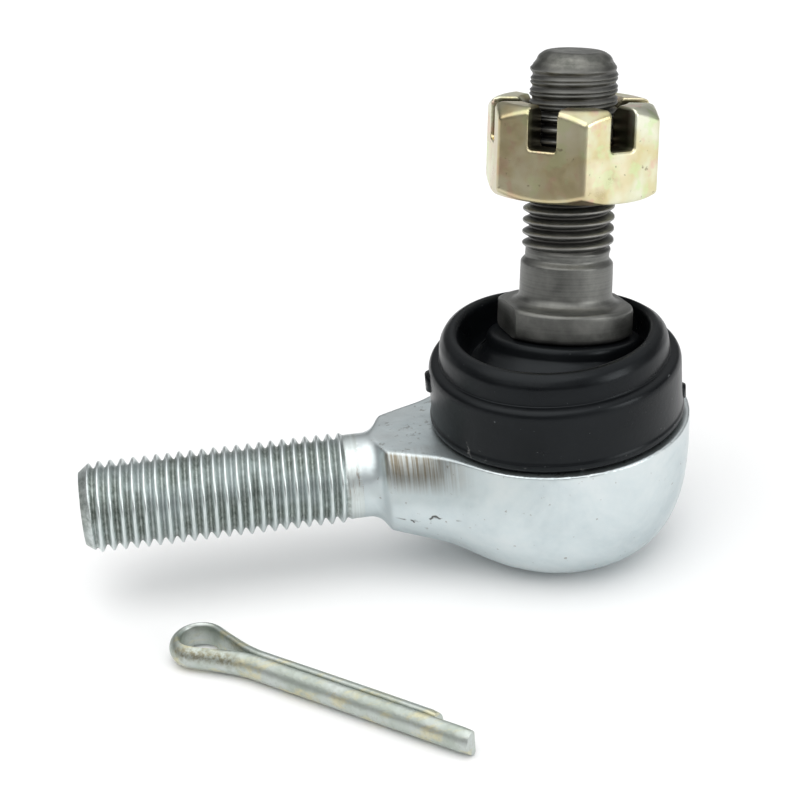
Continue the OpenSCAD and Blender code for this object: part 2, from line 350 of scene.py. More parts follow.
# ---------------------------------------------------------------- the forged socket
def forging_field(x, y, z):
    """The bowl, the web's cone with its milled flat top, and the flare to the neck.
    The factors under 1 turn each field into something close to a distance."""
    cone_slope, cone_end, flare_slope = 0.345, 8.0, 1.45
    neck_start, neck_end = 15, 22.4
    reach = np.sqrt(x * x + y * y)
    depth = np.clip((BOWL_DEPTH - z) / (2 * BOWL_DEPTH), 0, 1.2)
    bowl = ((reach / BOWL_R) ** BOWL_SQUARENESS + depth ** BOWL_SQUARENESS) ** (1 / BOWL_SQUARENESS)
    bowl = (bowl - 1) * BOWL_R * 0.9
    along, from_axis = -x, np.sqrt(y * y + z * z)
    cone = (from_axis - (WEB_R + (WEB_START - along) * cone_slope)) * 0.945
    cone = np.maximum(cone, cone_end - along)
    flare = from_axis - WEB_R + (along - WEB_START) * flare_slope
    cone = round_max(cone, flare * 0.57, 0.15)
    body = soft_min(bowl, cone, 1.8)
    body = round_max(body, -z - BOWL_DEPTH, 0.3)
    neck = round_max(from_axis - NECK_R, np.maximum(neck_start - along, along - neck_end), 0.05)
    body = soft_min(body, neck, 0.9)
    return round_max(body, z - SHOULDER_Z, 0.13)


def make_forging():
    obj = surface("socket_forging", forging_field, (-23.2, -15, -11.6), (15, 15, 5.3), 0.24)
    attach(obj, "socket")
    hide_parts("socket_housing")
    return obj


def make_spigot():
    """The machined neck above the bowl, which the boot hides."""
    outline = rounded([(8.3, 5.7), (8.3, 6.9), (9.3, 8.3), (11.1, 8.3), (11.75, 7.6), (11.75, 7.1),
                       (11.5, 6.7), (11.5, 4.0)], 0.12)
    obj = lathe("socket_neck", outline)
    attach(obj, "socket")
    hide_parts("socket_housing")
    return obj


def make_shank():
    """Left-hand thread with a bevelled tip, dying out into the plain neck."""
    start, end = 22.0, SHANK_TIP
    fade_start = SHANK_THREAD_END - 0.5

    def bottom(z):
        neck = (NECK_R - ROOT_R) * (1 - smooth_step(z, fade_start, SHANK_THREAD_END + 1.0))
        return ROOT_R + neck + 0.5 * smooth_step(z, end - 1.5, end - 0.7)

    def top(z):
        bevel = SHANK_TIP_R + (end - z) * 0.78
        fade = (CREST_R - NECK_R + 0.05) * smooth_step(z, fade_start, SHANK_THREAD_END + 0.6)
        return np.minimum(bevel, NECK_R + fade)

    rod = thread("shank_thread", start, end, -1, ALONG_SHANK, bottom, top)
    face = [(SHANK_TIP_R, end), (3.2, end + 0.01), (1.2, end - 0.03), (0.02, end - 0.05)]
    join([rod, lathe("shank_tip", face, ALONG_SHANK, columns=96)])
    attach(rod, "socket")
    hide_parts("socket_housing")
    return clean(rod, 0.004)


# ---------------------------------------------------------------- the ball stud
def stem_outline():
    """Ball, waist, collar, seat and the groove under the thread."""
    top = COLLAR_Z + COLLAR_H
    fillet_r = SEAT_R + COLLAR_FILLET
    ball = [(BALL_R * math.sin(a), -BALL_R * math.cos(a)) for a in np.linspace(0.01, math.radians(146), 40)]
    collar = [(COLLAR_R - 0.35, COLLAR_Z), (COLLAR_R, COLLAR_Z + 0.35), (COLLAR_R, top - 0.3),
              (COLLAR_R - 0.3, top), (fillet_r, top)]
    waist = [ball[-1], (WAIST_R, 7.2), (WAIST_R, 9), (SEAT_R, 11), (SEAT_R, COLLAR_Z)]
    body = rounded(waist + collar, 0.25, 4)
    fillet = [(fillet_r - COLLAR_FILLET * math.sin(a), top + COLLAR_FILLET * (1 - math.cos(a)))
              for a in np.linspace(0.05, math.pi / 2, 9)]
    land = rounded([(SEAT_R, 19.0), (SEAT_R - 0.03, 21.3), (GROOVE_R, 21.85),
                    (GROOVE_R, STUD_THREAD_Z + 0.1)], 0.16, 4)
    return resampled(ball + body[1:] + fillet + land, 0.4)


def with_flats(points, angles):
    """Cuts the collar's two wrench flats."""
    z = points[..., 2]
    r = np.hypot(points[..., 0], points[..., 1])
    on_collar = (z > COLLAR_Z - 0.01) & (z < COLLAR_Z + COLLAR_H + 0.02) & (r > 5.3)
    limit = COLLAR_HALF_AF / np.maximum(np.abs(np.cos(angles)), 1e-6)
    scale = np.where(on_collar & (r > limit), limit / np.maximum(r, 1e-6), 1)
    points[..., 0] *= scale
    points[..., 1] *= scale
    return points


def make_stud():
    """The stud's stem and its rolled right-hand thread, which is shallower towards the domed end."""
    def bottom(z):
        run_in = (GROOVE_R - ROOT_R) * (1 - smooth_step(z, STUD_THREAD_Z, STUD_THREAD_Z + 0.9))
        return ROOT_R + run_in + 0.22 * smooth_step(z, 36.5, 39.5)

    def top(z):
        taper = CREST_R - 0.02 - smooth_step(z, 36.5, 41.6) * 0.2
        run_in = GROOVE_R + 0.02 + smooth_step(z, STUD_THREAD_Z - 0.3, STUD_THREAD_Z + 0.9) * 0.45
        end_bevel = 4.62 + (42.1 - z) * 0.75
        return np.minimum(np.minimum(taper, run_in), end_bevel)

    def seam(z):
        return 0.65 * smooth_step(z, 35.5, 38.5) * (1 - smooth_step(z, 41.2, 41.8))

    place = on_stud(COLLAR_TURN)
    stem = lathe("stud_stem", stem_outline(), place, columns=240, reshape=with_flats)
    rod = thread("stud_thread", STUD_THREAD_Z - 0.6, STUD_THREAD_TOP, 1, place, bottom, top, 1.15, seam)
    dome = rounded([(4.06, STUD_THREAD_TOP - 0.04), (3.85, STUD_TOP - 0.55), (3.1, STUD_TOP - 0.03),
                    (0.01, STUD_TOP)], 0.55, 6)
    join([stem, rod, lathe("stud_end", resampled(dome, 0.3), place, columns=128)])
    clean(stem, 0.004)
    stem.name = "ball_stud_steel"
    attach(stem, "stud")
    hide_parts("ball_stud")
    return crisp(stem, 28)


# ---------------------------------------------------------------- the castle nut
def nut_sides(x, y):
    """For each of the six sides: how far out towards it a point lies, and how far across it."""
    for i in range(6):
        a = math.radians(30 + 60 * i)
        yield x * math.cos(a) + y * math.sin(a), np.abs(-x * math.sin(a) + y * math.cos(a))


def nut_field(x, y, z):
    """Hexagon with chamfered ends, six slots and a chamfered bore, all with worn edges."""
    r = np.sqrt(x * x + y * y)
    sides = list(nut_sides(x, y))
    body = sides[0][0] - NUT_HALF_AF
    for out, _ in sides[1:]:
        body = round_max(body, out - NUT_HALF_AF, 0.28)
    top_cone = (r - (8.15 + (NUT_H - z) * 1.35)) * 0.6
    foot_cone = (r - (8.35 + z * 1.6)) * 0.53
    for cut, edge in ((top_cone, 0.3), (foot_cone, 0.3), (z - NUT_H, 0.25), (-z, 0.25)):
        body = round_max(body, cut, edge)
    bore_r, bore_chamfer_r = 4.98, 5.9
    bore_top = (r - bore_chamfer_r + (NUT_H - z)) * 0.7
    bore_foot = (r - bore_chamfer_r + z) * 0.7
    bore = np.minimum(np.minimum(r - bore_r, bore_top), bore_foot)
    body = round_max(body, -bore, 0.08)
    for _, across in sides[:3]:
        slot = round_max(across - SLOT_HALF_W, (NUT_H - SLOT_DEPTH) - z, 0.45)
        body = round_max(body, -slot, 0.12)
    return body


def mark_hollows(obj):
    """Marks how deep each point lies inside the slots or the bore, for painted shade there."""
    points = np.array([v.co for v in obj.data.vertices]) / MM
    x, y, z = points.T
    depth = np.full(len(points), 99.0)
    in_slot = np.zeros(len(points), bool)
    for out, across in nut_sides(x, y):
        depth = np.minimum(depth, NUT_HALF_AF - out)
        in_slot |= (across < SLOT_HALF_W + 0.03) & (z < NUT_H - 0.25) & (z > NUT_H - SLOT_DEPTH - 0.03)
    hollow = np.where(in_slot, smooth_step(depth, 0.25, 1.5), 0)
    hollow = np.maximum(hollow, 1 - smooth_step(np.hypot(x, y), 5.2, 5.7))
    attribute = obj.data.attributes.new("hollow", "FLOAT", "POINT")
    attribute.data.foreach_set("value", hollow.astype(np.float32))


def make_nut():
    place = on_stud(NUT_TURN) @ Matrix.Translation((0, 0, NUT_Z * MM))
    obj = surface("castle_nut_steel", nut_field, (-10.2, -10.2, -0.4), (10.2, 10.2, NUT_H + 0.4), 0.17)
    mark_hollows(obj)
    obj.data.transform(place)
    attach(obj, "nut")
    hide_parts("castle_nut")
    return obj


# ---------------------------------------------------------------- the rubber boot
def boot_shape(points, angles):
    """Moulded rubber is never quite round, and the leaning collar pushes its side of the rim
    out and down."""
    z = points[..., 2]
    side = np.maximum(np.cos(angles - HEADING), 0) ** 2
    lift = smooth_step(z, BAND_TOP - 0.4, RIM_TOP)
    points[..., 2] = z - side * lift * 1.15 + (1 - side) * lift * 0.05
    z = points[..., 2]
    r = np.hypot(points[..., 0], points[..., 1])
    wobble = 1 + 0.0012 * np.sin(angles * 3 + 0.7) + 0.0008 * np.sin(angles * 7 + z * 0.8)
    collar_side = np.maximum(np.cos(angles - HEADING), 0) ** 3
    inner = smooth_step(z, 11.2, 13.0) * (1 - smooth_step(r, 10.3, 11.6))
    push = 1 + inner * collar_side * 0.1
    points[..., 0] *= wobble * push
    points[..., 1] *= wobble * push
    return points


def make_boot_shell():
    """Band with its bevelled foot and mould line, ledge, and the rounded rim."""
    foot = SHOULDER_Z + 0.06
    outside = [(11.6, 8.4), (11.6, foot + 0.4), (12.0, foot), (13.35, foot), (13.76, foot + 0.5),
               (13.78, foot + 1.0), (13.62, foot + 1.25), (BAND_R, foot + 2.3), (BAND_R, BAND_TOP - 0.8),
               (13.35, BAND_TOP - 0.2), (12.75, BAND_TOP), (TIER_R + 0.06, BAND_TOP + 0.05),
               (TIER_R, 13.2), (12.2, 14.2), (11.75, 14.95), (11.1, RIM_TOP - 0.04)]
    inside = [(10.6, RIM_TOP - 0.05), (RIM_R, RIM_TOP - 0.5), (10.05, 14.0), (9.85, 13.0), (9.55, 12.1),
              (9.1, 11.55), (8.6, 11.35), (8.3, 11.2), (8.35, 10.9), (9.2, 10.7), (10.4, 10.4),
              (10.9, 9.4), (11.6, 8.4)]
    outline = resampled(rounded(outside + inside, 0.3, 4), 0.35)
    obj = lathe("boot_shell", outline, columns=192, reshape=boot_shape)
    # The side of the rim that the collar presses on follows the stud most of the way.
    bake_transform(obj)
    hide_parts("dust_boot")
    return obj


def make_boot_flash():
    """Thin fin of moulding flash that stands out of the band on two sides."""
    count, root_r = 24, 13.3
    fins = ((math.radians(176), 0.07, 10.0, 2.1), (math.radians(-5), 0.055, 6.4, 1.6))
    parts = []
    for centre, half_width, middle, tall in fins:
        low, high = middle - tall / 2, middle + tall / 2
        points = []
        for i, a in enumerate(np.linspace(centre - half_width, centre + half_width, count)):
            out = 13.55 + 0.5 * math.sin(math.pi * i / (count - 1)) ** 0.5
            for r, z in ((root_r, low), (out, low + 0.15), (out, high - 0.15), (root_r, high)):
                points.append((r * math.cos(a), r * math.sin(a), z))
        faces = [(4 * i + k, 4 * i + 4 + k, 4 * i + 5 + k, 4 * i + 1 + k)
                 for i in range(count - 1) for k in range(3)]
        parts.append(new_object("flash", points, faces))
    obj = join(parts)
    obj.name = "boot_flash"
    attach(obj, "boot")
    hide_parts("dust_boot")
    return obj


def make_boot_fold():
    """Soft wall: from the groove inside the rim it rises to a fold under the collar.
    Its outer edge stays with the rim and its inner edge follows the leaning stud."""
    columns = 192
    angles = np.linspace(0, 2 * math.pi, columns, endpoint=False)
    lean = np.array(on_stud().to_3x3()).T
    edge = rounded([(9.3, 11.0), (9.15, 11.5), (8.8, 11.75)], 0.2, 4)
    fold = rounded([(8.45, 12.0), (8.35, 13.0), (8.15, 13.4), (7.6, 13.5), (6.2, 13.45), (5.05, 13.45)],
                   0.3, 5)
    cuff = rounded([(5.05, 13.45), (5.03, 11.2), (6.1, 11.1), (6.2, 12.6), (7.6, 12.8), (8.0, 12.0)],
                   0.2, 4)
    inner = resampled(fold, 0.3) + cuff[1:]

    def ring(r, z):
        return np.stack([r * np.cos(angles), r * np.sin(angles), np.full(columns, z)], axis=-1)

    rings = [ring(r, z) for r, z in edge]
    last, first = rings[-1], ring(*inner[0]) @ lean
    for t in np.linspace(0, 1, 8)[1:-1]:
        sink = 0.12 * math.sin(math.pi * t * t * (3 - 2 * t))
        rings.append(last * (1 - t) + first * t - np.array([0, 0, sink]))
    rings += [ring(r, z) @ lean for r, z in inner]
    obj = new_object("boot_fold", np.concatenate(rings), grid_faces(len(rings), columns))
    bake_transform(obj)
    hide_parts("dust_boot")
    return clean(obj, 0.001)


# ---------------------------------------------------------------- the cotter pin
def wire_ring(centre, outward, up, thick, tall):
    """A ring of the pin's half-round wire: flat inside, round outside, with worn corners."""
    arc = [(math.cos(a) * thick, math.sin(a) * tall) for a in np.linspace(-1.36, 1.36, 15)]
    flat = [(0.19, tall * 0.94), (0.07, tall * 0.87), (0.0, tall * 0.76), (0.0, tall * 0.3)]
    flat += [(x, -z) for x, z in flat[::-1]]
    return [centre + outward * x + up * z for x, z in arc + flat]


def pin_leg(side, reach, tangent):
    """The flat face of one leg, from its end to where it joins the eye at tangent."""
    half_gap, count = 0.035, 26
    bend = PIN_MEET_X + 1.6
    bow_size = 0.05 if side > 0 else 0.015
    points = []
    for i in range(count + 1):
        x = reach + (bend - reach) * i / count
        bow = bow_size * math.sin(math.pi * (x - PIN_MEET_X) / (reach - PIN_MEET_X))
        points.append(Vector((x, side * (half_gap + max(bow, 0)), 0)))
    start, corner = Vector((bend, side * half_gap, 0)), Vector((PIN_MEET_X - 0.1, side * half_gap, 0))
    end = Vector((tangent.x * 0.4 + PIN_MEET_X * 0.6, side * tangent.y * 0.4, 0))
    for i in range(1, 8):
        t = i / 8
        points.append(start * (1 - t) ** 2 + corner * 2 * t * (1 - t) + end * t * t)
    last, joined = points[-1], Vector((tangent.x, side * tangent.y, 0))
    return points + [last.lerp(joined, t) for t in (0.25, 0.5, 0.75)]


def pin_path():
    """The flat face's way down the short leg, round the eye and up the long leg."""
    pinch = math.asin(PIN_EYE_R / (PIN_MEET_X - PIN_EYE_X))
    tangent = Vector((PIN_EYE_X + PIN_EYE_R * math.sin(pinch), PIN_EYE_R * math.cos(pinch), 0))
    path = pin_leg(1, PIN_LENGTH - PIN_LEG_STEP, tangent)
    for i in range(45):
        a = math.pi / 2 - pinch + (math.pi + 2 * pinch) * i / 44
        path.append(Vector((PIN_EYE_X + PIN_EYE_R * math.cos(a), PIN_EYE_R * math.sin(a), 0)))
    return path + pin_leg(-1, PIN_LENGTH, tangent)[::-1]


def make_pin():
    """Half-round wire bent into an eye, with its two legs together and one longer."""
    up = Vector((0, 0, 1))
    path = pin_path()
    rings = []
    for i, p in enumerate(path):
        before, after = path[max(i - 1, 0)], path[min(i + 1, len(path) - 1)]
        outward = (after - before).normalized().cross(up)
        eye_share = 1 - float(smooth_step(p.x, PIN_EYE_X + 1.0, PIN_MEET_X + 1.5))
        size = PIN_R * (0.93 if i in (0, len(path) - 1) else 1.0)
        rings.append(wire_ring(p, outward, up, size * (1 - 0.2 * eye_share), size * (1 - 0.1 * eye_share)))
    columns = len(rings[0])
    points = [v for ring in rings for v in ring]
    faces = grid_faces(len(rings), columns)
    faces.append(tuple(range(columns))[::-1])
    faces.append(tuple(range(len(points) - columns, len(points))))
    # The pin lies along the diagonal of its CAD box, with its eye in the far left corner.
    low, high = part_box("cotter_pin")
    direction = Vector((math.cos(PIN_HEADING), math.sin(PIN_HEADING), 0))
    inset = PIN_EYE_X + 0.01
    eye_centre = Vector((low[0] / MM + inset, high[1] / MM - inset, low[2] / MM + PIN_R))
    start = eye_centre - direction * PIN_EYE_X
    place = Matrix.Translation(start * MM) @ Matrix.Rotation(PIN_HEADING, 4, "Z")
    obj = crisp(clean(new_object("cotter_pin_wire", points, faces, place), 0.001), 50)
    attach(obj, "pin")
    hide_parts("cotter_pin")
    return obj


# ---------------------------------------------------------------- materials
class Nodes:
    """Short names for building a material's nodes."""

    def __init__(self, name):
        self.material = bpy.data.materials.new(name)
        self.material.use_nodes = True
        self.tree = self.material.node_tree
        self.shader = self.tree.nodes["Principled BSDF"]
        self.object_space = self.add("ShaderNodeTexCoord").outputs["Object"]

    def add(self, kind, **settings):
        node = self.tree.nodes.new(kind)
        for key, value in settings.items():
            setattr(node, key, value)
        return node

    def link(self, a, b):
        self.tree.links.new(a, b)

    def fill(self, socket, value):
        if isinstance(value, bpy.types.NodeSocket):
            self.link(value, socket)
        else:
            socket.default_value = value

    def math(self, operation, a, b=0.0, clamp=False):
        node = self.add("ShaderNodeMath", operation=operation, use_clamp=clamp)
        self.fill(node.inputs[0], a)
        self.fill(node.inputs[1], b)
        return node.outputs[0]

    def times(self, a, b):
        return self.math("MULTIPLY", a, b)

    def axes(self):
        """The object-space X, Y and Z, in metres."""
        split = self.add("ShaderNodeSeparateXYZ")
        self.link(self.object_space, split.inputs[0])
        return split.outputs["X"], split.outputs["Y"], split.outputs["Z"]

    def vector(self, x=0.0, y=0.0, z=0.0):
        combine = self.add("ShaderNodeCombineXYZ")
        for name, value in (("X", x), ("Y", y), ("Z", z)):
            self.fill(combine.inputs[name], value)
        return combine.outputs[0]

    def noise(self, scale, detail=4.0, roughness=0.55, space=None, distortion=0.0):
        node = self.add("ShaderNodeTexNoise")
        self.link(space or self.object_space, node.inputs["Vector"])
        node.inputs["Scale"].default_value = scale
        node.inputs["Detail"].default_value = detail
        node.inputs["Roughness"].default_value = roughness
        node.inputs["Distortion"].default_value = distortion
        return node.outputs["Fac"]

    def stretched(self, factors, rotation=(0, 0, 0)):
        """Object space, squeezed by these factors, for brushed or ringed marks."""
        node = self.add("ShaderNodeMapping")
        self.link(self.object_space, node.inputs["Vector"])
        node.inputs["Scale"].default_value = factors
        node.inputs["Rotation"].default_value = rotation
        return node.outputs["Vector"]

    def ramp(self, factor, stops):
        node = self.add("ShaderNodeValToRGB")
        self.link(factor, node.inputs["Fac"])
        ramp = node.color_ramp
        while len(ramp.elements) < len(stops):
            ramp.elements.new(0.5)
        for element, (place, colour) in zip(ramp.elements, stops):
            element.position = place
            element.color = (*colour, 1)
        return node.outputs["Color"]

    def grey(self, factor, low, high, a=0.0, b=1.0):
        """Maps factor from low..high to a..b."""
        node = self.add("ShaderNodeMapRange")
        self.link(factor, node.inputs["Value"])
        node.inputs["From Min"].default_value = low
        node.inputs["From Max"].default_value = high
        node.inputs["To Min"].default_value = a
        node.inputs["To Max"].default_value = b
        return node.outputs["Result"]

    def mix(self, factor, a, b):
        """Colour a where factor is 0, colour b where it is 1."""
        node = self.add("ShaderNodeMix", data_type="RGBA")
        self.fill(node.inputs["Factor"], factor)
        for socket, value in ((node.inputs[6], a), (node.inputs[7], b)):
            self.fill(socket, (*value, 1) if isinstance(value, tuple) else value)
        return node.outputs[2]

    def bump(self, height, strength, distance, normal=None):
        node = self.add("ShaderNodeBump")
        self.link(height, node.inputs["Height"])
        node.inputs["Strength"].default_value = strength
        node.inputs["Distance"].default_value = distance
        if normal:
            self.link(normal, node.inputs["Normal"])
        return node.outputs["Normal"]

    def axis_radius(self, axis):
        """Distance from a line through the origin, in metres."""
        cross = self.add("ShaderNodeVectorMath", operation="CROSS_PRODUCT")
        self.link(self.object_space, cross.inputs[0])
        cross.inputs[1].default_value = axis
        length = self.add("ShaderNodeVectorMath", operation="LENGTH")
        self.link(cross.outputs[0], length.inputs[0])
        return length.outputs["Value"]

    def axis_height(self, axis):
        """Distance along a line through the origin, in metres."""
        dot = self.add("ShaderNodeVectorMath", operation="DOT_PRODUCT")
        self.link(self.object_space, dot.inputs[0])
        dot.inputs[1].default_value = axis
        return dot.outputs["Value"]

    def finish(self, colour, roughness, normal=None, metallic=1.0):
        self.link(colour, self.shader.inputs["Base Color"])
        self.fill(self.shader.inputs["Roughness"], roughness)
        if normal is not None:
            self.link(normal, self.shader.inputs["Normal"])
        self.shader.inputs["Metallic"].default_value = metallic
        return self.material


def zinc_material():
    """Bright zinc plate on a forging: cloudy, faintly blue, with fine pits and specks, a pitted
    milled top, and on the web's front a brown scrape and a dark nick."""
    n = Nodes("zinc_forging")
    x, y, z = n.axes()
    cloud = n.noise(95, 4, 0.6, distortion=0.6)
    fine = n.noise(900, 5, 0.65)
    colour = n.ramp(cloud, [(0.30, (0.52, 0.59, 0.61)), (0.50, (0.605, 0.67, 0.685)),
                            (0.72, (0.685, 0.73, 0.735))])
    colour = n.mix(n.grey(fine, 0.35, 0.7, 0.0, 0.2), colour, (0.75, 0.77, 0.76))
    specks = n.noise(1500, 2, 0.5)
    colour = n.mix(n.grey(specks, 0.70, 0.76, 0.0, 0.6), colour, (0.22, 0.19, 0.16))
    milled = n.grey(z, 0.00478, 0.00484)
    pits = n.grey(n.noise(1150, 3, 0.6), 0.60, 0.68, 0.0, 0.55)
    colour = n.mix(n.times(milled, pits), colour, (0.26, 0.26, 0.24))

    front = n.grey(y, -0.0035, -0.0042)
    scrape_length = n.times(n.grey(x, -0.0200, -0.0192), n.grey(x, -0.0105, -0.0150))
    scrape_height = n.times(n.grey(z, 0.0008, 0.0030), n.grey(z, 0.0049, 0.0046))
    scrape = n.times(n.times(scrape_length, scrape_height), front)
    stroke = n.grey(n.noise(1.0, 3, 0.5, space=n.stretched((4200, 150, 110))), 0.36, 0.58, 0.3, 1.0)
    colour = n.mix(n.times(scrape, stroke), colour, (0.25, 0.225, 0.175))

    wander = n.grey(n.noise(260, 3, 0.6), 0.3, 0.7, -0.0009, 0.0009)
    from_line = n.math("ABSOLUTE", n.math("ADD", n.math("ADD", z, 0.0024), wander))
    nick = n.times(n.grey(from_line, 0.00022, 0.00008), n.grey(n.noise(480, 3, 0.6), 0.46, 0.52))
    nick_length = n.times(n.grey(x, -0.0190, -0.0180), n.grey(x, -0.0120, -0.0132))
    nick = n.times(n.times(nick, nick_length), front)
    colour = n.mix(n.times(nick, 0.9), colour, (0.06, 0.055, 0.05))

    normal = n.bump(n.noise(130, 2, 0.5), 0.35, 0.0007)
    normal = n.bump(n.noise(420, 4, 0.6), 0.14, 0.0004, normal)
    normal = n.bump(fine, 0.05, 0.0002, normal)
    return n.finish(colour, n.grey(cloud, 0.3, 0.7, 0.45, 0.36), normal)


def thread_material():
    """Plated shank: crests lightened as a painted highlight, rougher speckled roots darkened as painted
    shade, and a turned neck.
    """
    n = Nodes("zinc_thread")
    x, y, z = n.axes()
    # Painted highlight on the crests and painted shade in the roots, blended by the distance from the
    # shank's axis.
    crest, root = (0.665, 0.72, 0.715), (0.22, 0.25, 0.23)
    depth = n.grey(n.axis_radius((1, 0, 0)), ROOT_R * MM, CREST_R * MM)
    grain = n.noise(1400, 5, 0.7)
    patch = n.noise(160, 3, 0.5)
    root_shade = n.mix(n.grey(grain, 0.38, 0.62), root, (0.46, 0.50, 0.48))
    root_shade = n.mix(n.grey(patch, 0.42, 0.62, 0.0, 0.7), root_shade, (0.55, 0.60, 0.61))
    level = n.math("ADD", depth, n.grey(grain, 0.3, 0.7, -0.18, 0.18), True)
    colour = n.mix(n.grey(level, 0.25, 0.8), root_shade, crest)

    turned = n.noise(1.0, 2, 0.5, space=n.stretched((3600, 30, 30)))
    plain = n.mix(n.grey(turned, 0.4, 0.62, 0.0, 0.5), crest, (0.47, 0.50, 0.48))
    scuff = n.noise(1.0, 3, 0.6, space=n.stretched((2600, 260, 260)))
    front = n.times(n.grey(y, -0.0030, -0.0036), n.grey(z, -0.0006, 0.0006))
    plain = n.mix(n.times(front, n.grey(scuff, 0.54, 0.60, 0.0, 0.85)), plain, (0.24, 0.17, 0.125))
    neck = n.grey(x, -0.0237, -0.0232)
    colour = n.mix(neck, colour, plain)
    return n.finish(colour, n.grey(level, 0.1, 0.95, 0.5, 0.33), n.bump(grain, 0.10, 0.0002))


def stud_material():
    """Grey phosphated steel: fine turned rings, a mottled bloom, painted highlights on the thread crests
    and painted shade in the thread roots.
    """
    n = Nodes("stud_phosphate")
    radius, height = n.axis_radius(tuple(STUD_AXIS)), n.axis_height(tuple(STUD_AXIS))
    rings = n.noise(1.0, 3, 0.6, space=n.vector(x=n.times(radius, 3000.0), z=n.times(height, 5200.0)))
    mottled = n.noise(330, 5, 0.65)
    grain = n.noise(2100, 4, 0.6)
    colour = n.ramp(mottled, [(0.32, (0.115, 0.117, 0.110)), (0.52, (0.162, 0.164, 0.154)),
                              (0.72, (0.225, 0.225, 0.211))])
    colour = n.mix(n.grey(rings, 0.42, 0.62, 0.0, 0.16), colour, (0.33, 0.33, 0.31))

    # Painted shade darkens the thread roots and a painted highlight lightens the crests, by distance from
    # the stud's axis.
    threaded = n.grey(height, 0.0224, 0.0229)
    depth = n.grey(radius, ROOT_R * MM, CREST_R * MM)
    root = n.times(threaded, n.grey(depth, 0.75, 0.2))
    colour = n.mix(n.times(root, 0.8), colour, (0.045, 0.043, 0.040))
    crest = n.times(threaded, n.grey(depth, 0.78, 0.96))
    colour = n.mix(n.times(crest, 0.5), colour, (0.36, 0.355, 0.335))

    dome = n.grey(height, 0.0421, 0.0427)
    bloom = n.ramp(n.noise(700, 4, 0.6), [(0.38, (0.125, 0.128, 0.115)), (0.62, (0.225, 0.225, 0.205))])
    colour = n.mix(n.times(dome, 0.85), colour, bloom)
    normal = n.bump(rings, 0.05, 0.00010)
    normal = n.bump(grain, 0.10, 0.00015, normal)
    return n.finish(colour, n.grey(mottled, 0.3, 0.7, 0.36, 0.50), normal, metallic=0.9)


def nut_material():
    """Yellow chromate over zinc: olive gold with pink and green clouds, with painted shade in its slots and
    bore and on its front-left face.
    """
    n = Nodes("nut_yellow_zinc")
    x, y, _ = n.axes()
    cloud = n.noise(230, 3, 0.55)
    film = n.noise(380, 3, 0.55)
    bloom = n.noise(170, 2, 0.5)
    specks = n.noise(1300, 2, 0.5)
    colour = n.ramp(cloud, [(0.28, (0.50, 0.43, 0.24)), (0.42, (0.64, 0.57, 0.33)),
                            (0.55, (0.675, 0.665, 0.465)), (0.70, (0.745, 0.75, 0.61))])
    colour = n.mix(n.grey(film, 0.56, 0.63, 0.0, 0.5), colour, (0.68, 0.38, 0.32))
    colour = n.mix(n.grey(film, 0.44, 0.37, 0.0, 0.55), colour, (0.58, 0.72, 0.38))
    colour = n.mix(n.grey(bloom, 0.56, 0.66, 0.0, 0.35), colour, (0.86, 0.80, 0.66))
    # Painted shade: the nut's front-left face is made darker and browner than its other faces.
    brown = n.times(n.grey(x, 0.0046, 0.0034), n.grey(y, 0.0090, 0.0050))
    colour = n.mix(n.times(brown, 0.52), colour, (0.47, 0.37, 0.22))
    colour = n.mix(n.grey(specks, 0.69, 0.75, 0.0, 0.7), colour, (0.24, 0.20, 0.13))
    # Painted shade: the slots and the bore darken towards their insides.
    hollow = n.add("ShaderNodeAttribute", attribute_name="hollow").outputs["Fac"]
    colour = n.mix(n.times(hollow, 0.88), colour, (0.075, 0.066, 0.04))

    height = n.axis_height(tuple(STUD_AXIS))
    drawn_space = n.vector(n.times(x, 1400.0), n.times(y, 1400.0), n.times(height, 60.0))
    normal = n.bump(n.noise(1.0, 3, 0.5, space=drawn_space), 0.05, 0.0002)
    normal = n.bump(n.noise(520, 4, 0.6), 0.07, 0.0003, normal)
    return n.finish(colour, n.grey(cloud, 0.3, 0.7, 0.27, 0.37), normal)


def pin_material():
    """Clear zinc over drawn wire: a grainy green-grey with yellow streaks and a scuffed eye."""
    n = Nodes("pin_zinc")
    x, y, z = n.axes()
    streak = n.noise(1.0, 4, 0.6, space=n.stretched((60, 700, 700), (0, 0, -PIN_HEADING)))
    cloud = n.noise(300, 3, 0.55)
    grain = n.noise(2300, 3, 0.6)
    colour = n.ramp(cloud, [(0.3, (0.41, 0.46, 0.41)), (0.5, (0.49, 0.535, 0.50)),
                            (0.72, (0.55, 0.585, 0.575))])
    colour = n.mix(n.grey(streak, 0.50, 0.62, 0.0, 0.75), colour, (0.60, 0.565, 0.37))
    colour = n.mix(n.grey(grain, 0.50, 0.66, 0.0, 0.35), colour, (0.36, 0.38, 0.33))
    by_eye = n.times(n.grey(x, -0.0366, -0.0385), n.grey(y, -0.0155, -0.0170))
    upper_half = n.times(n.grey(z, -0.0098, -0.0090), n.grey(z, -0.0081, -0.0086))
    scuff = n.times(n.times(by_eye, upper_half), n.grey(grain, 0.36, 0.60, 0.1, 0.75))
    colour = n.mix(scuff, colour, (0.20, 0.17, 0.09))
    normal = n.bump(grain, 0.16, 0.0003)
    normal = n.bump(streak, 0.12, 0.0003, normal)
    return n.finish(colour, n.grey(cloud, 0.3, 0.7, 0.50, 0.40), normal)


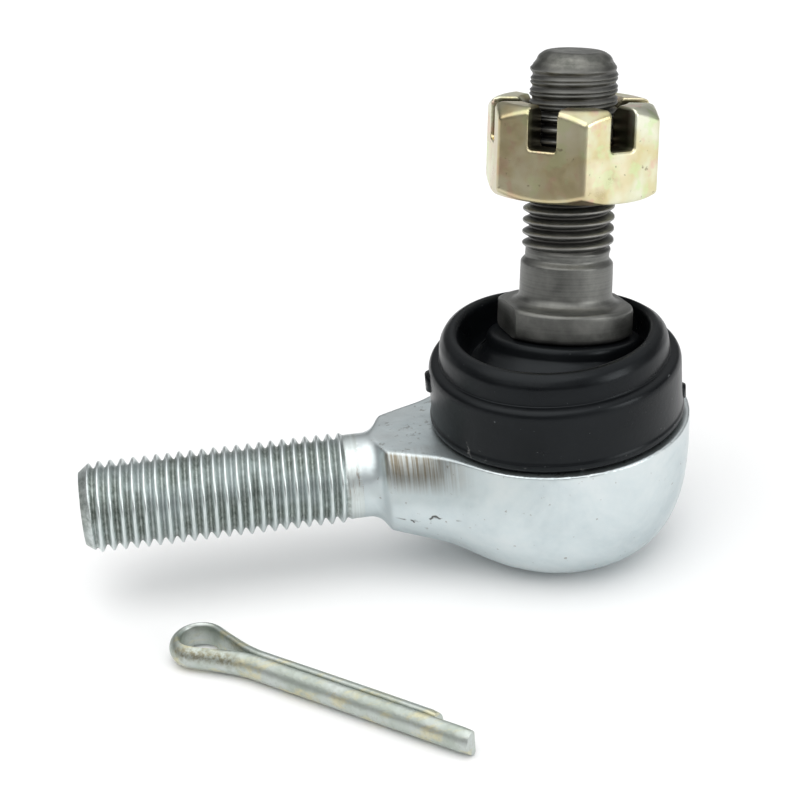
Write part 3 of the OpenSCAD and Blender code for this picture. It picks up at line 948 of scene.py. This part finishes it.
def rubber_material():
    """Moulded black rubber: a faint satin grain, with dust near the foot of the band."""
    n = Nodes("boot_rubber")
    z = n.axes()[2]
    grain = n.noise(1600, 5, 0.65)
    patch = n.noise(150, 3, 0.5)
    colour = n.ramp(patch, [(0.35, (0.0028, 0.0033, 0.0040)), (0.68, (0.0056, 0.0064, 0.0074))])
    dust = n.times(n.grey(z, 0.0078, 0.0052), n.grey(n.noise(900, 3, 0.6), 0.66, 0.72))
    colour = n.mix(n.times(dust, 0.5), colour, (0.30, 0.30, 0.29))
    lint = n.grey(n.noise(1900, 2, 0.5), 0.745, 0.76, 0.0, 0.25)
    colour = n.mix(lint, colour, (0.22, 0.23, 0.24))
    n.shader.inputs["Specular IOR Level"].default_value = 0.2
    n.shader.inputs["Specular Tint"].default_value = (0.88, 0.95, 1.0, 1)
    return n.finish(colour, n.grey(patch, 0.3, 0.7, 0.25, 0.36), n.bump(grain, 0.10, 0.0002), metallic=0.0)


def resin_material():
    n = Nodes("seat_resin")
    colour = n.ramp(n.noise(300, 3, 0.5), [(0.3, (0.72, 0.71, 0.66)), (0.7, (0.83, 0.82, 0.77))])
    roughness = n.grey(n.noise(800, 2), 0.3, 0.7, 0.35, 0.5)
    return n.finish(colour, roughness, n.bump(n.noise(1500), 0.05, 0.0002), metallic=0.0)


def spring_steel_material():
    n = Nodes("spring_steel")
    colour = n.ramp(n.noise(260, 3, 0.5), [(0.3, (0.30, 0.30, 0.32)), (0.7, (0.46, 0.46, 0.47))])
    roughness = n.grey(n.noise(700, 2), 0.3, 0.7, 0.28, 0.42)
    return n.finish(colour, roughness, n.bump(n.noise(1500), 0.05, 0.0002))


def floor_material():
    n = Nodes("floor")
    colour = n.ramp(n.noise(20, 2, 0.5), [(0.3, (0.96, 0.96, 0.965)), (0.7, (0.98, 0.98, 0.985))])
    return n.finish(colour, 0.75, metallic=0.0)


def dress(obj, material):
    obj.data.materials.clear()
    obj.data.materials.append(material)


# ---------------------------------------------------------------- studio
def make_floor():
    """A wide pale floor just under the lowest point of the part, in metres."""
    half, z = 60.0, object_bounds()[0][2] - 0.00002
    mesh = bpy.data.meshes.new("floor")
    corners = [(-half, -half, z), (half, -half, z), (half, half, z), (-half, half, z)]
    mesh.from_pydata(corners, [], [(0, 1, 2, 3)])
    floor = bpy.data.objects.new("floor", mesh)
    bpy.context.scene.collection.objects.link(floor)
    dress(floor, floor_material())


def make_camera():
    """Seen from 28 degrees up, a little to the shank's side of straight ahead."""
    azimuth, elevation, roll = math.radians(-4.14), math.radians(28.16), math.radians(-4.82)
    distance, right_by, up_by = 0.27634, -0.01745, 0.00561
    back = Vector((math.sin(azimuth) * math.cos(elevation), -math.cos(azimuth) * math.cos(elevation),
                   math.sin(elevation)))
    level = Vector((math.cos(azimuth), math.sin(azimuth), 0))
    upright = back.cross(level)
    right = level * math.cos(roll) + upright * math.sin(roll)
    up = upright * math.cos(roll) - level * math.sin(roll)
    camera = bpy.data.cameras.new("camera")
    camera.lens, camera.sensor_width = 113.4, 36
    camera.clip_start, camera.clip_end = 0.01, 200
    obj = bpy.data.objects.new("camera", camera)
    place = Matrix((right, up, back)).transposed().to_4x4()
    place.translation = back * distance + right * right_by + up * up_by
    obj.matrix_world = place
    bpy.context.scene.collection.objects.link(obj)
    bpy.context.scene.camera = obj


def area_light(name, place, size, power, colour):
    """A square light that faces the part."""
    light = bpy.data.lights.new(name, "AREA")
    light.shape = "RECTANGLE"
    light.size, light.size_y = size, size
    light.energy = power
    light.color = colour
    obj = bpy.data.objects.new(name, light)
    obj.location = place
    aim = Vector((0, 0, 0.01)) - Vector(place)
    obj.rotation_euler = aim.to_track_quat("-Z", "Y").to_euler()
    bpy.context.scene.collection.objects.link(obj)


def make_studio():
    """A soft world, bright above and darker towards the floor and the left, and two lights."""
    world = bpy.data.worlds.new("studio")
    bpy.context.scene.world = world
    world.use_nodes = True
    tree = world.node_tree
    shader = tree.nodes["Background"]
    coordinates = tree.nodes.new("ShaderNodeTexCoord")
    split = tree.nodes.new("ShaderNodeSeparateXYZ")
    ramp = tree.nodes.new("ShaderNodeValToRGB")
    side = tree.nodes.new("ShaderNodeMapRange")
    tree.links.new(coordinates.outputs["Generated"], split.inputs[0])
    tree.links.new(split.outputs["Z"], ramp.inputs["Fac"])
    tree.links.new(ramp.outputs["Color"], shader.inputs["Color"])
    tree.links.new(split.outputs["X"], side.inputs["Value"])
    for name, value in (("From Min", -0.9), ("From Max", 0.1), ("To Min", 0.6), ("To Max", 1.08)):
        side.inputs[name].default_value = value
    tree.links.new(side.outputs["Result"], shader.inputs["Strength"])
    levels = ((0.0, 0.09), (0.22, 0.19), (0.48, 0.46), (0.74, 0.96), (1.0, 1.12))
    stops = ramp.color_ramp.elements
    while len(stops) < len(levels):
        stops.new(0.5)
    for stop, (place, level) in zip(stops, levels):
        stop.position = place
        stop.color = (level * 0.985, level * 0.995, level, 1)
    area_light("key", (-0.42, -0.30, 1.06), 1.6, 9.5, (1.0, 0.99, 0.97))
    area_light("side", (0.85, -0.60, 0.34), 0.5, 3.3, (1.0, 1.0, 0.99))


# ---------------------------------------------------------------- the scene
make_camera()

zinc = zinc_material()
dress(make_forging(), zinc)
dress(make_spigot(), zinc)
dress(make_shank(), thread_material())
dress(make_stud(), stud_material())
dress(make_nut(), nut_material())
rubber = rubber_material()
dress(make_boot_shell(), rubber)
dress(make_boot_flash(), rubber)
dress(make_boot_fold(), rubber)
dress(make_pin(), pin_material())

resin, spring_steel = resin_material(), spring_steel_material()
for node in ("lower_seat", "upper_seat"):
    dress(frame["nodes"][node], resin)
for node in ("preload_washer", "retaining_ring", "boot_band_insert", "boot_neck_ring"):
    dress(frame["nodes"][node], spring_steel)

make_floor()
make_studio()
bpy.context.scene.view_settings.view_transform = "Standard"
